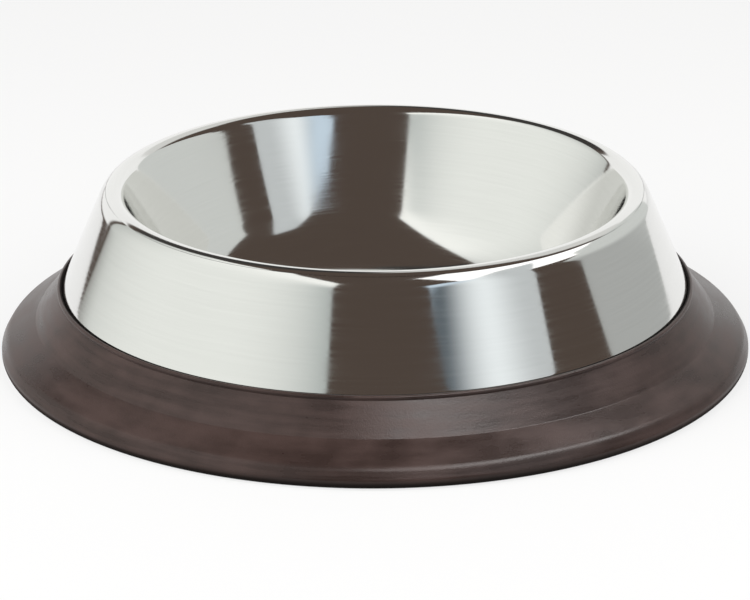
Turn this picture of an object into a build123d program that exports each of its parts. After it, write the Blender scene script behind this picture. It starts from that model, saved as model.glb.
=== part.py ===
from build123d import *
import os
from math import acos, asin, atan2, cos, degrees, hypot, radians, sin

# A steel dish rolled into a flaring steel skirt, which stands in a wide rubber ring.
# The origin is on the ground, under the middle of the dish, and +Z points up.
# Lengths are in millimetres and angles in degrees.

# The whole bowl
overall_height = 57.3        # from the ground to the crown of the rim
sheet_thickness = 0.8        # of both steel pieces

# The rolled rim, where the two sheets meet
rim_roll_radius = 3.9        # outside of the roll
shoulder_radius = 10.0       # outside, where the skirt leaves the roll
seam_angle = 48.0            # place of the seam on the roll's outer side, above level
tuck_angle = 112.0           # where the tucked edge of the skirt ends, inside the roll
seam_gap = 0.1               # between the two sheets, and the width of the seam line

# The dish
dish_floor_height = 6.5      # from the ground to the food side of the floor
dish_bottom_radius = 33.0    # between the floor and the wall
dish_wall_radius = 400.0     # the wall is slightly bowed
dish_rim_slope = 24.0        # of the wall where it meets the roll, from upright

# The skirt and its straight collar, which stands in the ring's slot
skirt_spread = 18.2          # from the crown of the rim out to the collar's outside
collar_bend_radius = 4.0     # outside, where the cone turns down into the collar
collar_top_drop = 1.4        # from the ring's lip down to the straight stretch

# The rubber ring
ring_diameter = 254.6        # the widest size of all: the collar and the rim stand inside it
ring_flare_width = 20.95     # from the collar's slot out to the ring's edge
ring_lip_height = 23.2       # the lip that meets the skirt
ring_edge_height = 3.0       # upright outer edge of the foot
ring_base_thickness = 4.0    # rubber under the collar
slot_clearance = 0.15        # on each side of the collar
inner_lip_height = 14.0      # the slot's inner side
inner_lip_thickness = 3.5
lip_bead_width = 1.8         # rounded bead along the top of the lip
lip_bead_height = 1.5
lip_bead_overhang = 0.3      # of the bead over the collar face below it
lip_bead_rounding_share = 0.4   # of the bead's width

# Corners of the ring's outside, as shares of its flare's width and of the lip's height
collar_face_foot_shares = (0.437, 0.517)
foot_ridge_shares = (0.909, 0.272)

# Roundings of the ring
inner_lip_rounding = 0.8
collar_face_foot_rounding = 1.0
foot_ridge_rounding = 4.3    # the broad ridge that runs round the foot
foot_edge_rounding = 2.0
foot_ground_rounding = 1.8
bore_ground_rounding = 0.6


def skirt_slope(shoulder_centre, bend_centre):
    """Slope from upright of the line that touches the shoulder and the collar's bend from outside."""
    across = bend_centre[0] - shoulder_centre[0]
    down = shoulder_centre[1] - bend_centre[1]
    touch = acos((shoulder_radius - collar_bend_radius) / hypot(across, down))
    return degrees(touch - atan2(down, across))


# From the ring's edge inwards: the slot, the collar that stands in it, and the bore
ring_radius = ring_diameter / 2
slot_outer_radius = ring_radius - ring_flare_width
collar_radius = slot_outer_radius - slot_clearance
collar_inner_radius = collar_radius - sheet_thickness
slot_inner_radius = collar_inner_radius - slot_clearance
bore_radius = slot_inner_radius - inner_lip_thickness

# The roll: the liner's sheet is its skin, and the skirt's edge is tucked one sheet deeper
roll_centre = (collar_radius - skirt_spread, overall_height - rim_roll_radius)
skin_inside = rim_roll_radius - sheet_thickness
tuck_outside = skin_inside - seam_gap
tuck_inside = tuck_outside - sheet_thickness
seam_line_angle = degrees(seam_gap / rim_roll_radius)

# The skirt's shoulder, which takes over from the roll at the seam without a kink
seam_turn = radians(seam_angle)
shoulder_offset = shoulder_radius - rim_roll_radius
shoulder_centre = (
    roll_centre[0] - shoulder_offset * cos(seam_turn),
    roll_centre[1] - shoulder_offset * sin(seam_turn),
)
shoulder_inside = shoulder_radius - sheet_thickness

# The dish's wall, which runs smoothly from the roll down into the bottom bend
rim_turn = radians(dish_rim_slope)
wall_centre = (
    roll_centre[0] - (dish_wall_radius + rim_roll_radius) * cos(rim_turn),
    roll_centre[1] + (dish_wall_radius + rim_roll_radius) * sin(rim_turn),
)
bottom_height = dish_floor_height + dish_bottom_radius
bend_offset = dish_wall_radius - dish_bottom_radius
foot_turn = asin((wall_centre[1] - bottom_height) / bend_offset)
dish_foot_slope = degrees(foot_turn)
bottom_centre = (wall_centre[0] + bend_offset * cos(foot_turn), bottom_height)

# The skirt's lower bend, and the cone that touches it and the shoulder
bend_centre = (collar_radius - collar_bend_radius, ring_lip_height - collar_top_drop)
cone_slope = skirt_slope(shoulder_centre, bend_centre)
bend_inside = collar_bend_radius - sheet_thickness


def on_flare(shares):
    """Point of the ring's outside, from shares of the flare's width and of the lip's height."""
    return (slot_outer_radius + shares[0] * ring_flare_width, shares[1] * ring_lip_height)


os.makedirs("parts", exist_ok=True)

# Bowl liner: floor, bottom bend, wall and the roll that closes the rim
roll_sweep = 180 - dish_rim_slope - seam_angle - seam_line_angle
wall_sweep = dish_foot_slope - dish_rim_slope
bottom_sweep = 90 - dish_foot_slope
with BuildPart() as bowl_liner:
    with BuildSketch(Plane.XZ):
        with BuildLine():
            bottom_food = CenterArc(bottom_centre, dish_bottom_radius, 270, bottom_sweep)
            CenterArc(wall_centre, dish_wall_radius, 360 - dish_foot_slope, wall_sweep)
            roll_skin = CenterArc(roll_centre, rim_roll_radius, 180 - dish_rim_slope, -roll_sweep)
            roll_back = CenterArc(roll_centre, skin_inside, seam_angle + seam_line_angle, roll_sweep)
            CenterArc(wall_centre, dish_wall_radius + sheet_thickness, 360 - dish_rim_slope, -wall_sweep)
            bottom_back = CenterArc(
                bottom_centre, dish_bottom_radius + sheet_thickness, 360 - dish_foot_slope, -bottom_sweep
            )
            Line(roll_skin @ 1, roll_back @ 0)
            Polyline(
                bottom_back @ 1,
                (0, dish_floor_height - sheet_thickness),
                (0, dish_floor_height),
                bottom_food @ 0,
            )
        make_face()
    revolve(axis=Axis.Z)
bowl_liner.part.label = "bowl_liner"
export_step(bowl_liner.part, "parts/bowl_liner.step")

# Outer skirt: collar, lower bend, cone, shoulder, and the edge that is tucked into the roll
tuck_foot = seam_angle - degrees(sheet_thickness / tuck_outside)
shoulder_top = seam_angle - degrees(sheet_thickness / shoulder_inside)
with BuildPart() as outer_skirt:
    with BuildSketch(Plane.XZ):
        with BuildLine():
            bend_out = CenterArc(bend_centre, collar_bend_radius, 0, cone_slope)
            shoulder_out = CenterArc(shoulder_centre, shoulder_radius, cone_slope, seam_angle - cone_slope)
            tuck_out = CenterArc(roll_centre, tuck_outside, seam_angle, tuck_angle - seam_angle)
            tuck_in = CenterArc(roll_centre, tuck_inside, tuck_angle, tuck_foot - tuck_angle)
            shoulder_in = CenterArc(shoulder_centre, shoulder_inside, shoulder_top, cone_slope - shoulder_top)
            bend_in = CenterArc(bend_centre, bend_inside, cone_slope, -cone_slope)
            Line(bend_out @ 1, shoulder_out @ 0)
            Line(shoulder_out @ 1, tuck_out @ 0)
            Line(tuck_out @ 1, tuck_in @ 0)
            Line(tuck_in @ 1, shoulder_in @ 0)
            Line(shoulder_in @ 1, bend_in @ 0)
            Polyline(
                bend_in @ 1,
                (collar_inner_radius, ring_base_thickness),
                (collar_radius, ring_base_thickness),
                bend_out @ 0,
            )
        make_face()
    revolve(axis=Axis.Z)
outer_skirt.part.label = "outer_skirt"
export_step(outer_skirt.part, "parts/outer_skirt.step")

# Rubber ring: each corner of its section with the radius that rounds it
bead_outer_radius = slot_outer_radius + lip_bead_width
bead_rounding = lip_bead_rounding_share * lip_bead_width
ring_corners = [
    ((bore_radius, 0), bore_ground_rounding),
    ((ring_radius, 0), foot_ground_rounding),
    ((ring_radius, ring_edge_height), foot_edge_rounding),
    (on_flare(foot_ridge_shares), foot_ridge_rounding),
    (on_flare(collar_face_foot_shares), collar_face_foot_rounding),
    ((bead_outer_radius - lip_bead_overhang, ring_lip_height - lip_bead_height), 0),
    ((bead_outer_radius, ring_lip_height), bead_rounding),
    ((slot_outer_radius, ring_lip_height), bead_rounding),
    ((slot_outer_radius, ring_base_thickness), 0),
    ((slot_inner_radius, ring_base_thickness), 0),
    ((slot_inner_radius, inner_lip_height), inner_lip_rounding),
    ((bore_radius, inner_lip_height), inner_lip_rounding),
]
with BuildPart() as rubber_ring:
    with BuildSketch(Plane.XZ):
        with BuildLine():
            Polyline([corner for corner, rounding in ring_corners], close=True)
        make_face()
        for corner, rounding in ring_corners:
            if rounding > 0:
                fillet(vertices().sort_by_distance(corner)[0], radius=rounding)
    revolve(axis=Axis.Z)
rubber_ring.part.label = "rubber_ring"
export_step(rubber_ring.part, "parts/rubber_ring.step")
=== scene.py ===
from math import acos, asin, atan2, ceil, cos, degrees, hypot, pi, radians, sin, tan

import bmesh
import bpy
from mathutils import Euler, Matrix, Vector


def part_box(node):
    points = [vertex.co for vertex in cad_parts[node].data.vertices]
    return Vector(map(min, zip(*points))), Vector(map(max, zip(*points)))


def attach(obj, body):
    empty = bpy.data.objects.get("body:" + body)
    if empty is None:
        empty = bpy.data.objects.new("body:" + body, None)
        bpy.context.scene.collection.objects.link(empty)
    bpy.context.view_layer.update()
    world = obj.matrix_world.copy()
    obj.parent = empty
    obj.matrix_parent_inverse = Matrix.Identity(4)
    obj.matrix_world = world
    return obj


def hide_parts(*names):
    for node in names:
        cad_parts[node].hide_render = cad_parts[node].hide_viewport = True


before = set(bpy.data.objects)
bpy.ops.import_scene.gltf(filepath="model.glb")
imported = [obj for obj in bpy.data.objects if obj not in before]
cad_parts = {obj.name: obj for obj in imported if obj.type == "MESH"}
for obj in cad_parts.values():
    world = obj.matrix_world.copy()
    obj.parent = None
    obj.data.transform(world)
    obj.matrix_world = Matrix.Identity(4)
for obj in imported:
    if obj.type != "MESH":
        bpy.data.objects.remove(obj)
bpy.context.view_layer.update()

# A mirror-polished steel dish and skirt in a dark rubber ring, on a white table in a small photo studio.
# Lengths are in metres and angles in degrees. Azimuth 0 is the camera's side, and grows to the right.

# Camera
camera_distance = 1.127
camera_elevation = 20.52
camera_aim_height = 0.0148
camera_lens_mm = 158.35
camera_sensor_mm = 36.0
camera_roll = -0.17

# Sizes of the pieces, as in the solids
sheet_thickness = 0.0008
rim_roll_radius = 0.0039
shoulder_radius = 0.01
seam_angle = 48.0
tuck_angle = 112.0
seam_gap = 0.0001
dish_bottom_radius = 0.033
dish_wall_radius = 0.4
dish_rim_slope = 24.0
skirt_spread = 0.0182
collar_bend_radius = 0.004
collar_top_drop = 0.0014
ring_edge_height = 0.003
slot_clearance = 0.00015
inner_lip_height = 0.014
inner_lip_thickness = 0.0035
lip_bead_width = 0.0018
lip_bead_height = 0.0015
lip_bead_overhang = 0.0003
lip_bead_rounding_share = 0.4
collar_face_foot_shares = (0.437, 0.517)
foot_ridge_shares = (0.909, 0.272)
inner_lip_rounding = 0.0008
collar_face_foot_rounding = 0.001
foot_ridge_rounding = 0.0043
foot_edge_rounding = 0.002
foot_ground_rounding = 0.0018
bore_ground_rounding = 0.0006

# Places of the pieces, from the frame
ring_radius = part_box("rubber_ring")[1].x
ring_lip_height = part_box("rubber_ring")[1].z
collar_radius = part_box("outer_skirt")[1].x
collar_foot_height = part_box("outer_skirt")[0].z
overall_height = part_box("bowl_liner")[1].z
dish_back_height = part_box("bowl_liner")[0].z

# Places that follow from these
slot_outer_radius = collar_radius + slot_clearance
collar_inner_radius = collar_radius - sheet_thickness
slot_inner_radius = collar_inner_radius - slot_clearance
bore_radius = slot_inner_radius - inner_lip_thickness
roll_centre = (collar_radius - skirt_spread, overall_height - rim_roll_radius)
skin_inside = rim_roll_radius - sheet_thickness
tuck_outside = skin_inside - seam_gap
bend_centre = (collar_radius - collar_bend_radius, ring_lip_height - collar_top_drop)
bottom_height = dish_back_height + sheet_thickness + dish_bottom_radius

# Fineness of the meshes
turn_count = 192
arc_step = 3.0
wall_step = 0.25                    # for the dish's wall, whose arc is short and wide
line_step = 0.002
sharp_turn = 35.0                   # edges that turn by more are shaded sharp

# Marks that run round the bowl
axis_guard = 0.0001                 # keeps their coordinates finite on the axis
marks_radius_share = 0.3            # so that level faces have marks too

# Places of the mix node's colour sockets, which come after those for numbers and vectors
mix_first = 6
mix_second = 7
mix_result = 2

# Steel
steel_tones = ((0.77, 0.77, 0.755), (0.83, 0.83, 0.815))
steel_noise_range = (0.3, 0.7)
steel_marks_across = 1400.0         # per metre
steel_marks_around = 3.0
steel_marks_detail = 3.0
steel_marks_roughness = (0.05, 0.09)
steel_cloud_scale = 30.0
steel_cloud_roughness = (0.0, 0.03)
steel_bump_strength = 0.02
steel_bump_depth = 0.0002

# Rubber
rubber_tones = ((0.033, 0.0203, 0.0176), (0.061, 0.0377, 0.0333))
# dark colour painted as shade at the ring's foot and in the groove beside the steel
rubber_painted_shade = (0.01, 0.007, 0.006)
rubber_tone_range = (0.35, 0.65)
rubber_rings_across = 700.0         # per metre
rubber_rings_around = 4.0
rubber_rings_detail = 4.0
rubber_rings_tone_share = 0.45
rubber_rings_bump_share = 0.5
rubber_cloud_scale = 60.0
rubber_cloud_detail = 5.0
rubber_grain_scale = 1500.0
rubber_roughness = (0.26, 0.36)
# roughness where shade is painted on the rubber, so that it mirrors little there
rubber_shade_roughness = 1.0
rubber_specular = 0.24
rubber_bump_strength = 0.25
rubber_bump_depth = 0.0003

# Painted shade on the rubber, at its foot by the ground and in the groove beside the steel, from where it is
# full to where it ends
foot_shade_heights = (0.0012, 0.0032)        # above the ground
foot_shade_widths = (0.004, 0.006)           # in from the ring's edge
groove_shade_depths = (0.001, 0.003)         # below the lip
groove_shade_widths = (0.0003, 0.001)        # out from the slot

# Plain directions and colours
up = (0.0, 0.0, 1.0)
white = (1.0, 1.0, 1.0)
black = (0.0, 0.0, 0.0)

# Room
room_dark = (0.09, 0.068, 0.056)

# Second images, where the steel mirrors itself
mirror_depths = (1.0, 2.0)          # counts of mirrorings in a first and in a second image
room_grey = (0.85, 0.86, 0.83)
room_pale = (1.2, 1.21, 1.18)       # in rays that climb to the left
pale_climbs = (0.38, 0.66)
pale_lefts = (0.0, 0.4)

# Far panels: sides and rises are slopes of a ray from the way a panel faces, and sides grow with azimuth
facing_guard = 0.001                # a ray has to go at least so far a panel's way to meet it
back_right_panel = dict(facing=155.0, sides=(-0.47, 0.45), rises=(0.4, 1.5), blur=0.1)
back_right_light = (0.75, 0.75, 0.73)
backdrop = dict(facing=180.0, sides=(-0.95, 0.95), rises=(-0.05, 0.65), blur=0.04)
backdrop_light = (1.0, 1.0, 0.99)
back_left_flag = dict(facing=-155.0, sides=(-0.47, 0.4), rises=(0.65, 1.8), blur=0.05)
back_left_light = (0.05, 0.047, 0.044)

# Left softbox, and where on it each tone starts and is full
left_box = dict(facing=-80.0, sides=(-1.36, 1.92), rises=(-0.2, 2.35), blur=0.04)
left_box_light = (0.95, 0.97, 0.93)
left_box_top_light = (1.12, 1.13, 1.09)
left_box_top_rises = (0.5, 2.2)
left_box_back_light = (0.5, 0.52, 0.5)
left_box_back_sides = (-0.1, -1.9)
left_box_front_light = (0.46, 0.5, 0.49)
left_box_front_sides = (0.35, 2.25)
left_box_front_rises = (1.8, 1.0)
left_box_foot_rises = (-0.2, 0.04)

# Near panels: each corner of an outline is its slopes to the back and up, and its rounding
panel_distance = 0.6

# Front right softbox
front_right_facing = 78.0
front_right_outline = (
    (-1.0, 0.0, 0.0),
    (-0.43, 0.0, 0.0),
    (-0.255, 0.4, 0.0),
    (-0.22, 0.62, 0.0),
    (0.06, 1.11, 0.03),
    (-0.28, 1.25, 0.2),
    (-0.72, 1.02, 0.05),
    (-1.2, 1.22, 0.3),
    (-1.55, 1.25, 0.05),
    (-1.5, 0.86, 0.0),
    (-1.36, 0.72, 0.0),
)
front_right_dim_light = (0.13, 0.155, 0.175)
front_right_light = (0.98, 1.03, 1.05)
front_right_light_sides = (-1.33, -0.7)
front_right_blue_light = (0.67, 0.8, 0.92)
front_right_blue_rises = (0.8, 1.05)
front_right_blue_sides = (-0.5, -1.1)
front_right_even_light = (0.62, 0.65, 0.66)
front_right_even_sides = (-0.72, -0.35)

# Right softbox
right_facing = 105.0
right_outline = (
    (-0.36, 0.0, 0.0),
    (0.8, 0.0, 0.0),
    (0.8, 0.75, 0.1),
    (-0.2, 0.75, 0.05),
    (-0.25, 0.59, 0.0),
    (-0.46, 0.565, 0.0),
    (-0.36, 0.32, 0.0),
)
right_dim_light = (0.46, 0.47, 0.46)
right_light = (0.68, 0.7, 0.68)
right_light_rises = (0.2, 0.4)
right_light_lean = 0.5

# Floor
floor_size = 8.0
floor_drop = 0.0001                 # keeps it apart from the ring's underside
floor_left_edge = 0.42              # where its mirror image ends
floor_grey = (0.2, 0.2, 0.2)
floor_roughness = 0.9
floor_glow = 0.74

# Lamps
lamp_distance = 1.0
fill_azimuth = 65.0
fill_settings = dict(elevation=40.0, offset=0.0, width=0.9, height=0.9, power=8.0)
shoulder_settings = dict(azimuth=58.0, elevation=50.0, offset=1.1, width=2.8, height=0.55, power=6.8)
ring_settings = dict(azimuth=54.0, elevation=57.0, offset=0.0, width=1.25, height=0.36, power=13.0)


# Sections

def arc(centre, radius, start, end, step=arc_step):
    """Points of an arc in the section, from one angle to another."""
    count = max(2, ceil(abs(end - start) / step))
    angles = [radians(start + (end - start) * i / count) for i in range(count + 1)]
    return [(centre[0] + radius * cos(a), centre[1] + radius * sin(a)) for a in angles]


def rounded(corners):
    """Points of a closed section whose corners are rounded by their own radii."""
    points = []
    for index, (corner, radius) in enumerate(corners):
        if radius == 0:
            points.append(corner)
            continue
        here = Vector(corner)
        back = (Vector(corners[index - 1][0]) - here).normalized()
        ahead = (Vector(corners[(index + 1) % len(corners)][0]) - here).normalized()
        half = back.angle(ahead) / 2
        centre = here + (back + ahead).normalized() * radius / sin(half)
        first = here + back * radius / tan(half) - centre
        last = here + ahead * radius / tan(half) - centre
        start = degrees(atan2(first.y, first.x))
        sweep = (degrees(atan2(last.y, last.x)) - start + 180) % 360 - 180
        points += arc(centre, radius, start, start + sweep)
    return points


def finer(points, closed):
    """The same line with its long straight stretches divided."""
    pairs = list(zip(points, points[1:] + points[:1])) if closed else list(zip(points, points[1:]))
    result = []
    for (r0, z0), (r1, z1) in pairs:
        count = max(1, ceil(hypot(r1 - r0, z1 - z0) / line_step))
        result += [(r0 + (r1 - r0) * i / count, z0 + (z1 - z0) * i / count) for i in range(count)]
    return result if closed else result + points[-1:]


def turned(name, points, closed):
    """A smooth mesh made by turning a section round the upright axis; an open section ends on the axis."""
    line = finer(points, closed)
    mesh = bmesh.new()
    rows = []
    for r, z in line:
        count = turn_count if r > 0 else 1
        turns = [2 * pi * i / turn_count for i in range(count)]
        rows.append([mesh.verts.new((r * cos(a), r * sin(a), z)) for a in turns])
    for low, high in zip(rows, rows[1:] + rows[:1] if closed else rows[1:]):
        for i in range(turn_count):
            j = (i + 1) % turn_count
            corners = [low[i % len(low)], low[j % len(low)], high[j % len(high)], high[i % len(high)]]
            mesh.faces.new(list(dict.fromkeys(corners)))
    bmesh.ops.recalc_face_normals(mesh, faces=mesh.faces)
    data = bpy.data.meshes.new(name)
    mesh.to_mesh(data)
    mesh.free()
    data.shade_smooth()
    data.set_sharp_from_angle(angle=radians(sharp_turn))
    return placed(name, data)


def placed(name, data):
    """A new object in the scene."""
    holder = bpy.data.objects.new(name, data)
    bpy.context.scene.collection.objects.link(holder)
    return holder


# Nodes

def new_node(tree, kind, **settings):
    """A node with some of its own settings set."""
    node = tree.nodes.new(kind)
    for name, value in settings.items():
        setattr(node, name, value)
    return node


def feed(tree, socket, value):
    """Sets an input socket to a value, or links it to an output socket."""
    if isinstance(value, bpy.types.NodeSocket):
        tree.links.new(value, socket)
    elif isinstance(value, tuple) and socket.type == "RGBA":
        socket.default_value = (*value, 1.0)
    else:
        socket.default_value = value


def calc(tree, operation, first, second):
    """One arithmetic step on plain numbers."""
    node = new_node(tree, "ShaderNodeMath", operation=operation)
    feed(tree, node.inputs[0], first)
    feed(tree, node.inputs[1], second)
    return node.outputs["Value"]


def weighted(tree, first, second, share):
    """Sum of two numbers, of which the first has this share."""
    return calc(tree, "ADD", calc(tree, "MULTIPLY", first, share), calc(tree, "MULTIPLY", second, 1 - share))


def along(tree, vector, direction):
    """How far a vector reaches along a direction."""
    node = new_node(tree, "ShaderNodeVectorMath", operation="DOT_PRODUCT")
    feed(tree, node.inputs[0], vector)
    feed(tree, node.inputs[1], direction)
    return node.outputs["Value"]


def ramp(tree, value, start, end, low=0.0, high=1.0):
    """Goes smoothly from low to high as value goes from start to end."""
    node = new_node(tree, "ShaderNodeMapRange", interpolation_type="SMOOTHSTEP")
    for name, number in (
        ("Value", value),
        ("From Min", start),
        ("From Max", end),
        ("To Min", low),
        ("To Max", high),
    ):
        feed(tree, node.inputs[name], number)
    return node.outputs["Result"]


def blend(tree, share, first, second):
    """Mixes two colours."""
    node = new_node(tree, "ShaderNodeMix", data_type="RGBA")
    feed(tree, node.inputs["Factor"], share)
    feed(tree, node.inputs[mix_first], first)
    feed(tree, node.inputs[mix_second], second)
    return node.outputs[mix_result]


def noise(tree, vector, scale=1.0, detail=2.0):
    """Soft procedural noise, from 0 to 1."""
    node = new_node(tree, "ShaderNodeTexNoise")
    feed(tree, node.inputs["Vector"], vector)
    feed(tree, node.inputs["Scale"], scale)
    feed(tree, node.inputs["Detail"], detail)
    return node.outputs["Fac"]


def from_axis(tree, place):
    """Distance of a place from the upright axis."""
    flat = new_node(tree, "ShaderNodeVectorMath", operation="MULTIPLY")
    feed(tree, flat.inputs[0], place)
    feed(tree, flat.inputs[1], (1.0, 1.0, 0.0))
    reach = new_node(tree, "ShaderNodeVectorMath", operation="LENGTH")
    feed(tree, reach.inputs[0], flat.outputs["Vector"])
    return reach.outputs["Value"]


def round_the_axis(tree, place, across, around):
    """Coordinates for marks that run round the bowl: across counts them per metre, around breaks them up."""
    split = new_node(tree, "ShaderNodeSeparateXYZ")
    feed(tree, split.inputs[0], place)
    x, y, z = split.outputs
    radius = calc(tree, "ADD", from_axis(tree, place), axis_guard)
    height = calc(tree, "ADD", z, calc(tree, "MULTIPLY", radius, marks_radius_share))
    result = new_node(tree, "ShaderNodeCombineXYZ")
    for socket, value in zip(result.inputs, (x, y)):
        feed(tree, socket, calc(tree, "MULTIPLY", calc(tree, "DIVIDE", value, radius), around))
    feed(tree, result.inputs[2], calc(tree, "MULTIPLY", height, across))
    return result.outputs[0]


def bumpy(tree, shader, height, strength, depth):
    """Lets a height pattern shape the shader's normal."""
    node = new_node(tree, "ShaderNodeBump")
    feed(tree, node.inputs["Strength"], strength)
    feed(tree, node.inputs["Distance"], depth)
    feed(tree, node.inputs["Height"], height)
    feed(tree, shader.inputs["Normal"], node.outputs["Normal"])


# Materials

def new_material(name):
    """A new node material, with its tree and its principled shader."""
    material = bpy.data.materials.new(name)
    material.use_nodes = True
    tree = material.node_tree
    return material, tree, tree.nodes["Principled BSDF"]


def steel_material(name):
    """Mirror-polished steel with fine polishing marks that run round the bowl."""
    material, tree, shader = new_material(name)
    place = new_node(tree, "ShaderNodeTexCoord").outputs["Object"]
    marks_place = round_the_axis(tree, place, steel_marks_across, steel_marks_around)
    marks = noise(tree, marks_place, detail=steel_marks_detail)
    cloud = noise(tree, place, steel_cloud_scale)
    marks_roughness = ramp(tree, marks, *steel_noise_range, *steel_marks_roughness)
    cloud_roughness = ramp(tree, cloud, *steel_noise_range, *steel_cloud_roughness)
    shader.inputs["Metallic"].default_value = 1.0
    feed(tree, shader.inputs["Base Color"], blend(tree, marks, *steel_tones))
    feed(tree, shader.inputs["Roughness"], calc(tree, "ADD", marks_roughness, cloud_roughness))
    bumpy(tree, shader, marks, steel_bump_strength, steel_bump_depth)
    return material


def unshaded_rubber_share(tree, place):
    """Share of rubber without painted shade: none at the foot of the outer face, where the ground shades it,
    nor in the groove beside the steel.
    """
    height = along(tree, place, up)
    reach = from_axis(tree, place)
    above_foot = ramp(tree, height, *foot_shade_heights)
    inside_foot = ramp(tree, reach, *(ring_radius - width for width in foot_shade_widths))
    below_lip = ramp(tree, height, *(ring_lip_height - depth for depth in groove_shade_depths))
    outside_groove = ramp(tree, reach, *(slot_outer_radius + width for width in groove_shade_widths))
    off_foot = calc(tree, "MAXIMUM", above_foot, inside_foot)
    off_groove = calc(tree, "MAXIMUM", below_lip, outside_groove)
    return calc(tree, "MULTIPLY", off_foot, off_groove)


def rubber_material(name):
    """Satin dark brown rubber with a moulded grain and faint rings, with shade painted dark and dull at its
    foot and in the groove beside the steel.
    """
    material, tree, shader = new_material(name)
    place = new_node(tree, "ShaderNodeTexCoord").outputs["Object"]
    rings_place = round_the_axis(tree, place, rubber_rings_across, rubber_rings_around)
    rings = noise(tree, rings_place, detail=rubber_rings_detail)
    cloud = noise(tree, place, rubber_cloud_scale, rubber_cloud_detail)
    grain = noise(tree, place, rubber_grain_scale)
    tone = weighted(tree, rings, cloud, rubber_rings_tone_share)
    colour = blend(tree, ramp(tree, tone, *rubber_tone_range), *rubber_tones)
    roughness = ramp(tree, tone, *rubber_tone_range, *rubber_roughness)
    unshaded = unshaded_rubber_share(tree, place)
    # painted shade: dark, rough rubber at the foot and in the groove beside the steel
    feed(tree, shader.inputs["Base Color"], blend(tree, unshaded, rubber_painted_shade, colour))
    feed(tree, shader.inputs["Roughness"], ramp(tree, unshaded, 0.0, 1.0, rubber_shade_roughness, roughness))
    shader.inputs["Specular IOR Level"].default_value = rubber_specular
    height = weighted(tree, rings, grain, rubber_rings_bump_share)
    bumpy(tree, shader, height, rubber_bump_strength, rubber_bump_depth)
    return material


# Shape of the pieces

def beside(centre, distance, angle):
    """Point of the section at a distance and an angle from another."""
    return (centre[0] + distance * cos(radians(angle)), centre[1] + distance * sin(radians(angle)))


def skirt_slope(shoulder_centre):
    """Slope from upright of the line that touches the shoulder and the collar's bend from outside."""
    across = bend_centre[0] - shoulder_centre[0]
    down = shoulder_centre[1] - bend_centre[1]
    touch = acos((shoulder_radius - collar_bend_radius) / hypot(across, down))
    return degrees(touch - atan2(down, across))


def on_flare(shares):
    """Point of the ring's outside, from shares of the flare's width and of the lip's height."""
    flare_width = ring_radius - slot_outer_radius
    return (slot_outer_radius + shares[0] * flare_width, shares[1] * ring_lip_height)


# Bowl liner

def bowl_liner():
    """The dish: floor, bottom bend, bowed wall and the roll that closes the rim."""
    rim = 180 - dish_rim_slope
    seam = seam_angle + degrees(seam_gap / rim_roll_radius)
    wall_centre = beside(roll_centre, dish_wall_radius + rim_roll_radius, rim)
    bend_offset = dish_wall_radius - dish_bottom_radius
    foot = 360 - degrees(asin((wall_centre[1] - bottom_height) / bend_offset))
    centre = beside(wall_centre, bend_offset, foot)
    section = [(0, dish_back_height + sheet_thickness)]
    section += arc(centre, dish_bottom_radius, 270, foot)
    section += arc(wall_centre, dish_wall_radius, foot, rim + 180, wall_step)[1:-1]
    section += arc(roll_centre, rim_roll_radius, rim, seam)
    section += arc(roll_centre, skin_inside, seam, rim)
    section += arc(wall_centre, dish_wall_radius + sheet_thickness, rim + 180, foot, wall_step)[1:-1]
    section += arc(centre, dish_bottom_radius + sheet_thickness, foot, 270)
    section += [(0, dish_back_height)]
    return turned("polished_dish", section, closed=False)


# Outer skirt

def outer_skirt():
    """The cone with its collar below, its shoulder at the rim and the edge tucked into the roll."""
    shoulder_centre = beside(roll_centre, rim_roll_radius - shoulder_radius, seam_angle)
    slope = skirt_slope(shoulder_centre)
    shoulder_inside = shoulder_radius - sheet_thickness
    tuck_foot = seam_angle - degrees(sheet_thickness / tuck_outside)
    shoulder_top = seam_angle - degrees(sheet_thickness / shoulder_inside)
    section = arc(bend_centre, collar_bend_radius, 0, slope)
    section += arc(shoulder_centre, shoulder_radius, slope, seam_angle)
    section += arc(roll_centre, tuck_outside, seam_angle, tuck_angle)
    section += arc(roll_centre, tuck_outside - sheet_thickness, tuck_angle, tuck_foot)
    section += arc(shoulder_centre, shoulder_inside, shoulder_top, slope)
    section += arc(bend_centre, collar_bend_radius - sheet_thickness, slope, 0)
    section += [(collar_inner_radius, collar_foot_height), (collar_radius, collar_foot_height)]
    return turned("polished_skirt", section, closed=True)


# Rubber ring

def rubber_ring():
    """The moulded foot ring with its slot, bead, collar face, flare and foot."""
    bead_radius = slot_outer_radius + lip_bead_width
    bead_rounding = lip_bead_rounding_share * lip_bead_width
    corners = [
        ((bore_radius, 0), bore_ground_rounding),
        ((ring_radius, 0), foot_ground_rounding),
        ((ring_radius, ring_edge_height), foot_edge_rounding),
        (on_flare(foot_ridge_shares), foot_ridge_rounding),
        (on_flare(collar_face_foot_shares), collar_face_foot_rounding),
        ((bead_radius - lip_bead_overhang, ring_lip_height - lip_bead_height), 0),
        ((bead_radius, ring_lip_height), bead_rounding),
        ((slot_outer_radius, ring_lip_height), bead_rounding),
        ((slot_outer_radius, collar_foot_height), 0),
        ((slot_inner_radius, collar_foot_height), 0),
        ((slot_inner_radius, inner_lip_height), inner_lip_rounding),
        ((bore_radius, inner_lip_height), inner_lip_rounding),
    ]
    return turned("moulded_ring", rounded(corners), closed=True)


dish = bowl_liner()
skirt = outer_skirt()
ring = rubber_ring()
for piece, node, body, slot, material in (
    (dish, "bowl_liner", "bowl", "liner_steel", steel_material("mirror_dish")),
    (skirt, "outer_skirt", "bowl", "skirt_steel", steel_material("mirror_skirt")),
    (ring, "rubber_ring", "ring", "ring_rubber", rubber_material("satin_rubber")),
):
    piece.data.materials.append(material)
    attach(piece, body)
    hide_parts(node)


# Studio

def level(azimuth):
    """Level direction at an azimuth."""
    turn = radians(azimuth)
    return (sin(turn), -cos(turn), 0.0)


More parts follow.
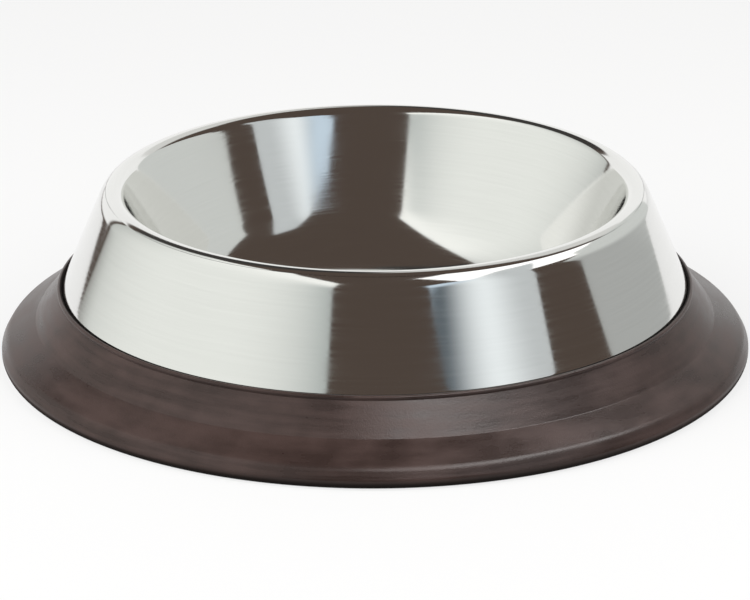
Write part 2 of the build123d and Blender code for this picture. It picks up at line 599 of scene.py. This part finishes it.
def in_second_mirror(tree, rays, colour, grey):
    """What a ray finds: the colour in the steel's first mirror image, and the grey in the next."""
    return blend(tree, ramp(tree, rays.outputs["Glossy Depth"], *mirror_depths), colour, grey)


def far_panel(tree, ray, facing, sides, rises, blur):
    """Share of a flat upright panel in a ray's direction, and the ray's slopes to the side and up."""
    depth = along(tree, ray, level(facing))
    rise = calc(tree, "DIVIDE", along(tree, ray, up), depth)
    side = calc(tree, "DIVIDE", along(tree, ray, level(facing + 90)), depth)
    share = calc(tree, "GREATER_THAN", depth, facing_guard)
    for value, (low, high) in ((side, sides), (rise, rises)):
        share = calc(tree, "MULTIPLY", share, ramp(tree, value, low - blur, low + blur))
        share = calc(tree, "MULTIPLY", share, ramp(tree, value, high + blur, high - blur))
    return share, side, rise


def left_box_tint(tree, side, rise):
    """Brighter high up, dimmer towards the back and low down at the front, and dark along the foot."""
    light = blend(tree, ramp(tree, rise, *left_box_top_rises), left_box_light, left_box_top_light)
    light = blend(tree, ramp(tree, side, *left_box_back_sides), light, left_box_back_light)
    at_front = ramp(tree, side, *left_box_front_sides)
    low_down = ramp(tree, rise, *left_box_front_rises)
    light = blend(tree, calc(tree, "MULTIPLY", at_front, low_down), light, left_box_front_light)
    return blend(tree, ramp(tree, rise, *left_box_foot_rises), room_dark, light)


def second_image_grey(tree, ray):
    """Grey of the room in second mirror images, paler where the ray climbs to the left."""
    climbing = ramp(tree, along(tree, ray, up), *pale_climbs)
    to_the_left = ramp(tree, along(tree, ray, level(left_box["facing"])), *pale_lefts)
    return blend(tree, calc(tree, "MULTIPLY", climbing, to_the_left), room_grey, room_pale)


def studio_world():
    """A dark room with a wide softbox at the left and a white backdrop behind; the camera sees white."""
    world = bpy.data.worlds.new("studio")
    bpy.context.scene.world = world
    world.use_nodes = True
    tree = world.node_tree
    ray = new_node(tree, "ShaderNodeTexCoord").outputs["Generated"]
    colour = room_dark
    for panel, light in (
        (back_right_panel, back_right_light),
        (backdrop, backdrop_light),
        (back_left_flag, back_left_light),
    ):
        share = far_panel(tree, ray, **panel)[0]
        colour = blend(tree, share, colour, light)
    share, side, rise = far_panel(tree, ray, **left_box)
    colour = blend(tree, share, colour, left_box_tint(tree, side, rise))
    rays = new_node(tree, "ShaderNodeLightPath")
    colour = in_second_mirror(tree, rays, colour, second_image_grey(tree, ray))
    seen = blend(tree, rays.outputs["Is Camera Ray"], colour, white)
    feed(tree, tree.nodes["Background"].inputs["Color"], seen)


def near_panel(name, facing, corners, tint):
    """An upright softbox close to the bowl that shows only in mirror images."""
    outline = []
    for side, rise, rounding in corners:
        outline.append(((side * panel_distance, rise * panel_distance), rounding * panel_distance))
    mesh = bmesh.new()
    mesh.faces.new([mesh.verts.new((x, 0, z)) for x, z in rounded(outline)])
    data = bpy.data.meshes.new(name)
    mesh.to_mesh(data)
    mesh.free()
    panel = placed(name, data)
    panel.location = Vector(level(facing)) * panel_distance
    panel.rotation_euler = (0, 0, radians(facing))
    panel.visible_camera = False
    panel.visible_diffuse = False
    panel.visible_transmission = False
    panel.visible_shadow = False
    material, tree, shader = new_material(name)
    place = new_node(tree, "ShaderNodeTexCoord").outputs["Object"]
    side = along(tree, place, (1 / panel_distance, 0.0, 0.0))
    rise = along(tree, place, (0.0, 0.0, 1 / panel_distance))
    rays = new_node(tree, "ShaderNodeLightPath")
    light = in_second_mirror(tree, rays, tint(tree, side, rise), room_grey)
    feed(tree, shader.inputs["Emission Color"], light)
    shader.inputs["Emission Strength"].default_value = 1.0
    feed(tree, shader.inputs["Base Color"], black)
    shader.inputs["Specular IOR Level"].default_value = 0.0
    data.materials.append(material)


def front_right_tint(tree, side, rise):
    """Dim low down at the front end, bluish above that, brightest past it, then dimmer."""
    lit = ramp(tree, side, *front_right_light_sides)
    light = blend(tree, lit, front_right_dim_light, front_right_light)
    high_up = ramp(tree, rise, *front_right_blue_rises)
    at_front = ramp(tree, side, *front_right_blue_sides)
    light = blend(tree, calc(tree, "MULTIPLY", high_up, at_front), light, front_right_blue_light)
    return blend(tree, ramp(tree, side, *front_right_even_sides), light, front_right_even_light)


def right_tint(tree, side, rise):
    """Dimmer low down at the front."""
    height = calc(tree, "ADD", rise, calc(tree, "MULTIPLY", side, right_light_lean))
    return blend(tree, ramp(tree, height, *right_light_rises), right_dim_light, right_light)


def studio_floor():
    """A white table top with the bowl's soft shadow, clear from below; its mirror image ends at the left."""
    bpy.ops.mesh.primitive_plane_add(size=floor_size, location=(0.0, 0.0, -floor_drop))
    floor = bpy.context.object
    floor.name = "floor"
    material, tree, shader = new_material("floor_white")
    feed(tree, shader.inputs["Base Color"], floor_grey)
    shader.inputs["Roughness"].default_value = floor_roughness
    shader.inputs["Specular IOR Level"].default_value = 0.0
    rays = new_node(tree, "ShaderNodeLightPath")
    mirrored = rays.outputs["Is Glossy Ray"]
    shown = calc(tree, "MAXIMUM", rays.outputs["Is Camera Ray"], mirrored)
    feed(tree, shader.inputs["Emission Color"], white)
    feed(tree, shader.inputs["Emission Strength"], calc(tree, "MULTIPLY", shown, floor_glow))
    left = along(tree, new_node(tree, "ShaderNodeTexCoord").outputs["Object"], (-1.0, 0.0, 0.0))
    beyond = calc(tree, "GREATER_THAN", left, floor_left_edge)
    below = new_node(tree, "ShaderNodeNewGeometry").outputs["Backfacing"]
    clear = new_node(tree, "ShaderNodeMixShader")
    feed(tree, clear.inputs["Fac"], calc(tree, "MAXIMUM", calc(tree, "MULTIPLY", beyond, mirrored), below))
    feed(tree, clear.inputs[1], shader.outputs["BSDF"])
    feed(tree, clear.inputs[2], new_node(tree, "ShaderNodeBsdfTransparent").outputs["BSDF"])
    feed(tree, tree.nodes["Material Output"].inputs["Surface"], clear.outputs["Shader"])
    floor.data.materials.append(material)


def area_lamp(name, azimuth, elevation, offset, width, height, power):
    """A lamp in a plane that faces the bowl from a direction, moved sideways in that plane."""
    lamp = bpy.data.lights.new(name, "AREA")
    lamp.shape = "RECTANGLE"
    lamp.size = width
    lamp.size_y = height
    lamp.energy = power
    holder = placed(name, lamp)
    rise = radians(elevation)
    towards = Vector(level(azimuth)) * cos(rise) + Vector(up) * sin(rise)
    holder.location = towards * lamp_distance + Vector(level(azimuth + 90)) * offset
    holder.rotation_euler = towards.to_track_quat("Z", "Y").to_euler()
    holder.visible_camera = False
    return holder


def fill_lamp(name, azimuth):
    """A soft lamp that lights the rubber and the floor but isn't mirrored in the steel."""
    area_lamp(name, azimuth, **fill_settings).visible_glossy = False


def strip_lamp(name, piece, settings):
    """A long strip light that is only mirrored, and only by one piece."""
    strip = area_lamp(name, **settings)
    strip.visible_diffuse = False
    lit = bpy.data.collections.new(name + "_lit")
    lit.objects.link(piece)
    strip.light_linking.receiver_collection = lit


def photo_camera():
    """A camera at the photograph's angle and distance."""
    camera = bpy.data.cameras.new("camera")
    camera.sensor_width = camera_sensor_mm
    camera.lens = camera_lens_mm
    holder = placed("camera", camera)
    rise = radians(camera_elevation)
    aim = Vector(up) * camera_aim_height
    holder.location = aim + Vector((0, -cos(rise), sin(rise))) * camera_distance
    looking = Euler((radians(90 - camera_elevation), 0, 0)).to_matrix()
    holder.rotation_euler = (looking @ Euler((0, 0, radians(camera_roll))).to_matrix()).to_euler()
    bpy.context.scene.camera = holder


studio_world()
near_panel("front_right_box", front_right_facing, front_right_outline, front_right_tint)
near_panel("right_box", right_facing, right_outline, right_tint)
studio_floor()
fill_lamp("fill_left", -fill_azimuth)
fill_lamp("fill_right", fill_azimuth)
strip_lamp("shoulder_strip", skirt, shoulder_settings)
strip_lamp("ring_strip", ring, ring_settings)
photo_camera()

bpy.context.scene.view_settings.view_transform = "Standard"
